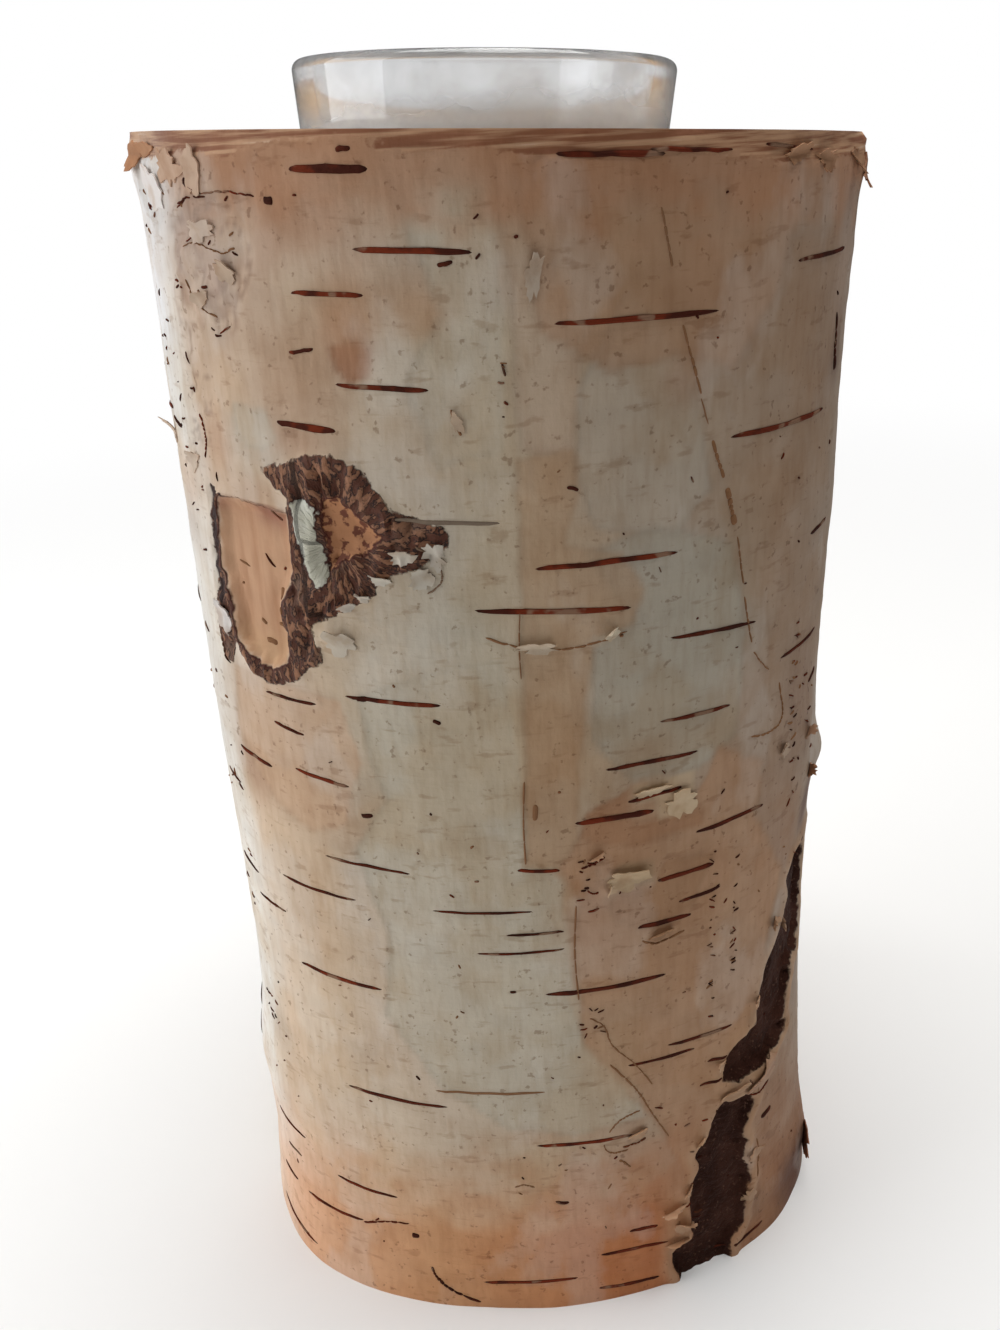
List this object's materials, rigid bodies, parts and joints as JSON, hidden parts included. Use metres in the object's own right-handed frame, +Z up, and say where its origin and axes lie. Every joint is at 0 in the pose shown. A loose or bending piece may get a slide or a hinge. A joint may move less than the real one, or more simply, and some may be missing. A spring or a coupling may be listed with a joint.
{
  "type": "birch log candle holder",
  "caption": "Upright section of white birch log, sawn at both ends and bored in the top for a clear glass candle cup that stands slightly proud.",
  "frame": {"origin": "middle of the log's sawn foot, on the surface that it stands on", "axes": "+Z up along the log; the side with the branch scar faces -Y, and +X is to the right when looking at that side"},
  "size_m": [0.1073, 0.1092, 0.1978],
  "materials": {
    "birch": "papery white birch bark with dark lenticels, sawn end grain",
    "cup_glass": "clear pressed glass, glossy"
  },
  "bodies": {
    "root": {"log": "birch", "glass_cup": "cup_glass"}
  },
  "joints": []
}
